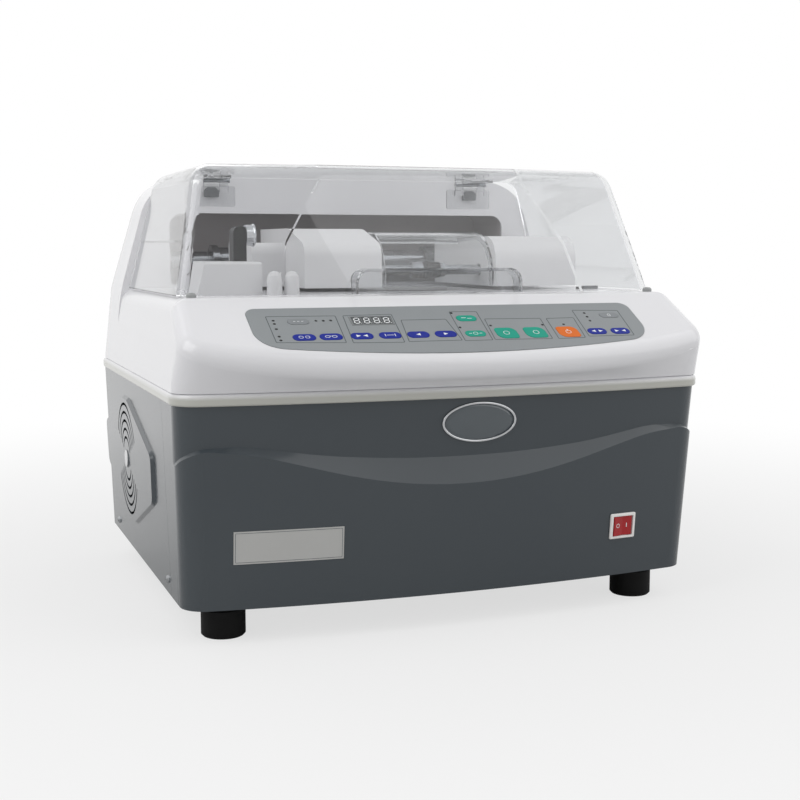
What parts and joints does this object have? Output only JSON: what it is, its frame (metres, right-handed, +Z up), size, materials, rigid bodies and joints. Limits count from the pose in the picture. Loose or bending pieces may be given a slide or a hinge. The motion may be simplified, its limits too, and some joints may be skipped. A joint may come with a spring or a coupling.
{
  "type": "optical lens edger",
  "caption": "Bench-top optical lens edger: grey cabinet, white cover with sloping keypad, clear hinged hood over the lens head, grinding wheels, belt drive and fan.",
  "frame": {"origin": "centre of the overall plan, on the surface that the feet stand on", "axes": "+X to the operator's right along the width, +Y to the rear, +Z up"},
  "size_m": [0.566, 0.53, 0.462],
  "materials": {
    "cabinet_grey": "gloss enamel",
    "zinc_steel": "zinc plated",
    "foot_rubber": "matte",
    "screw_steel": "satin",
    "white_cover": "moulded gloss",
    "chamber_grey": "matte",
    "membrane_grey": "satin polyester film",
    "display_dark": "tinted window",
    "bezel_white": "moulded",
    "rocker_red": "moulded",
    "black_plastic": "moulded",
    "clear_acrylic": "clear acrylic",
    "bumper_rubber": "matte",
    "basin_plastic": "moulded",
    "motor_cast": "painted casting",
    "core_steel": "varnished laminations",
    "wheel_abrasive": "bonded diamond",
    "pulley_aluminium": "turned",
    "knob_chrome": "polished",
    "key_blue": "embossed film",
    "key_grey": "embossed film",
    "key_green": "embossed film",
    "key_orange": "embossed film"
  },
  "bodies": {
    "cabinet": {"base_plate": "zinc_steel", "front_panel": "cabinet_grey", "left_side_panel": "cabinet_grey", "right_side_panel": "cabinet_grey", "rear_panel": "cabinet_grey", "rubber_feet": "foot_rubber", "foot_bolts": "screw_steel", "panel_screws": "screw_steel", "top_cover": "white_cover", "rear_chamber": "chamber_grey", "control_membrane": "membrane_grey", "display_window": "display_dark", "switch_housing": "bezel_white", "power_inlet": "black_plastic", "hinge_plates": "clear_acrylic", "hinge_pins": "screw_steel", "hood_bumpers": "bumper_rubber", "splash_basin": "basin_plastic", "drive_belt": "bumper_rubber", "drive_frame": "zinc_steel", "main_motor": "motor_cast", "fan_frame": "black_plastic", "transformer": "core_steel", "former_rest": "white_cover", "former_post": "black_plastic", "guide_shaft": "screw_steel"},
    "hood": {"hood": "clear_acrylic", "hood_handle": "clear_acrylic", "hinge_leaves": "clear_acrylic"},
    "carriage": {"carriage_sleeve": "screw_steel"},
    "head": {"head_frame": "motor_cast", "head_left_housing": "white_cover", "head_right_housing": "white_cover", "gear_block": "white_cover"},
    "guard": {"splash_guard": "clear_acrylic"},
    "lens_drive": {"lens_drive_shaft": "screw_steel"},
    "lens_clamp": {"clamp_shaft": "screw_steel"},
    "lens_clamp_pad": {"clamp_pad": "bumper_rubber"},
    "wheels": {"wheel_spindle": "screw_steel", "grinding_wheels": "wheel_abrasive", "wheel_pulley": "pulley_aluminium"},
    "motor": {"motor_pulley": "pulley_aluminium"},
    "fan": {"fan_impeller": "black_plastic"},
    "rocker": {"power_rocker": "rocker_red"},
    "former_clamp": {"clamp_knob": "knob_chrome"},
    "key_mode": {"key_mode": "key_grey"},
    "key_lens_type": {"key_lens_type": "key_blue"},
    "key_frame_type": {"key_frame_type": "key_blue"},
    "key_pressure": {"key_pressure": "key_blue"},
    "key_size": {"key_size": "key_blue"},
    "key_step_left": {"key_step_left": "key_blue"},
    "key_step_right": {"key_step_right": "key_blue"},
    "key_bevel": {"key_bevel": "key_green"},
    "key_polish": {"key_polish": "key_green"},
    "key_left_lens": {"key_left_lens": "key_green"},
    "key_right_lens": {"key_right_lens": "key_green"},
    "key_start": {"key_start": "key_orange"},
    "key_coolant": {"key_coolant": "key_grey"},
    "key_chuck_open": {"key_chuck_open": "key_blue"},
    "key_chuck_close": {"key_chuck_close": "key_blue"}
  },
  "joints": [
    {"name": "hood_hinge", "type": "hinge", "parent": "cabinet", "child": "hood", "pos_m": [0, 0.1331, 0.4552], "axis": [-1, 0, 0], "range_deg": [0, 70]},
    {"name": "carriage_slide", "type": "slide", "parent": "cabinet", "child": "carriage", "axis": [1, 0, 0], "range_m": [-0.012, 0.012]},
    {"name": "head_tilt", "type": "hinge", "parent": "carriage", "child": "head", "pos_m": [0, 0.1901, 0.362], "axis": [-1, 0, 0], "range_deg": [0, 10]},
    {"name": "guard_hinge", "type": "hinge", "parent": "head", "child": "guard", "pos_m": [0, 0.0451, 0.388], "axis": [-1, 0, 0], "range_deg": [0, 50]},
    {"name": "lens_spin", "type": "hinge", "parent": "head", "child": "lens_drive", "pos_m": [0, -0.0109, 0.352], "axis": [1, 0, 0], "continuous": true},
    {"name": "clamp_slide", "type": "slide", "parent": "head", "child": "lens_clamp", "axis": [1, 0, 0], "range_m": [0, 0.025]},
    {"name": "clamp_pad_spin", "type": "hinge", "parent": "lens_clamp", "child": "lens_clamp_pad", "pos_m": [0, -0.0109, 0.352], "axis": [1, 0, 0], "continuous": true},
    {"name": "wheel_spin", "type": "hinge", "parent": "cabinet", "child": "wheels", "pos_m": [0, -0.0029, 0.27], "axis": [1, 0, 0], "continuous": true},
    {"name": "motor_spin", "type": "hinge", "parent": "cabinet", "child": "motor", "pos_m": [0, 0.0251, 0.1], "axis": [1, 0, 0], "continuous": true},
    {"name": "fan_spin", "type": "hinge", "parent": "cabinet", "child": "fan", "pos_m": [-0.25367, 0.0711, 0.14175], "axis": [0.9994, 0, 0.0345], "continuous": true},
    {"name": "power_rocker", "type": "hinge", "parent": "cabinet", "child": "rocker", "pos_m": [0.18571, -0.22339, 0.08875], "axis": [-0.0092, 0.0885, -0.996], "range_deg": [0, 9]},
    {"name": "former_clamp_turn", "type": "hinge", "parent": "cabinet", "child": "former_clamp", "pos_m": [-0.165, -0.0449, 0.39], "axis": [1, 0, 0], "range_deg": [-90, 90]},
    {"name": "key_mode_press", "type": "slide", "parent": "cabinet", "child": "key_mode", "axis": [0, 0.4886, -0.8725], "range_m": [0, 0.0004], "stiffness_N_per_m": 1500},
    {"name": "key_lens_type_press", "type": "slide", "parent": "cabinet", "child": "key_lens_type", "axis": [0, 0.4886, -0.8725], "range_m": [0, 0.0004], "stiffness_N_per_m": 1500},
    {"name": "key_frame_type_press", "type": "slide", "parent": "cabinet", "child": "key_frame_type", "axis": [0, 0.4886, -0.8725], "range_m": [0, 0.0004], "stiffness_N_per_m": 1500},
    {"name": "key_pressure_press", "type": "slide", "parent": "cabinet", "child": "key_pressure", "axis": [0, 0.4886, -0.8725], "range_m": [0, 0.0004], "stiffness_N_per_m": 1500},
    {"name": "key_size_press", "type": "slide", "parent": "cabinet", "child": "key_size", "axis": [0, 0.4886, -0.8725], "range_m": [0, 0.0004], "stiffness_N_per_m": 1500},
    {"name": "key_step_left_press", "type": "slide", "parent": "cabinet", "child": "key_step_left", "axis": [0, 0.4886, -0.8725], "range_m": [0, 0.0004], "stiffness_N_per_m": 1500},
    {"name": "key_step_right_press", "type": "slide", "parent": "cabinet", "child": "key_step_right", "axis": [0, 0.4886, -0.8725], "range_m": [0, 0.0004], "stiffness_N_per_m": 1500},
    {"name": "key_bevel_press", "type": "slide", "parent": "cabinet", "child": "key_bevel", "axis": [0, 0.4886, -0.8725], "range_m": [0, 0.0004], "stiffness_N_per_m": 1500},
    {"name": "key_polish_press", "type": "slide", "parent": "cabinet", "child": "key_polish", "axis": [0, 0.4886, -0.8725], "range_m": [0, 0.0004], "stiffness_N_per_m": 1500},
    {"name": "key_left_lens_press", "type": "slide", "parent": "cabinet", "child": "key_left_lens", "axis": [0, 0.4886, -0.8725], "range_m": [0, 0.0004], "stiffness_N_per_m": 1500},
    {"name": "key_right_lens_press", "type": "slide", "parent": "cabinet", "child": "key_right_lens", "axis": [0, 0.4886, -0.8725], "range_m": [0, 0.0004], "stiffness_N_per_m": 1500},
    {"name": "key_start_press", "type": "slide", "parent": "cabinet", "child": "key_start", "axis": [0, 0.4886, -0.8725], "range_m": [0, 0.0004], "stiffness_N_per_m": 1500},
    {"name": "key_coolant_press", "type": "slide", "parent": "cabinet", "child": "key_coolant", "axis": [0, 0.4886, -0.8725], "range_m": [0, 0.0004], "stiffness_N_per_m": 1500},
    {"name": "key_chuck_open_press", "type": "slide", "parent": "cabinet", "child": "key_chuck_open", "axis": [0, 0.4886, -0.8725], "range_m": [0, 0.0004], "stiffness_N_per_m": 1500},
    {"name": "key_chuck_close_press", "type": "slide", "parent": "cabinet", "child": "key_chuck_close", "axis": [0, 0.4886, -0.8725], "range_m": [0, 0.0004], "stiffness_N_per_m": 1500}
  ],
  "couplings": [
    {"joint": "motor_spin", "follows": "wheel_spin", "ratio": 0.83333}
  ]
}
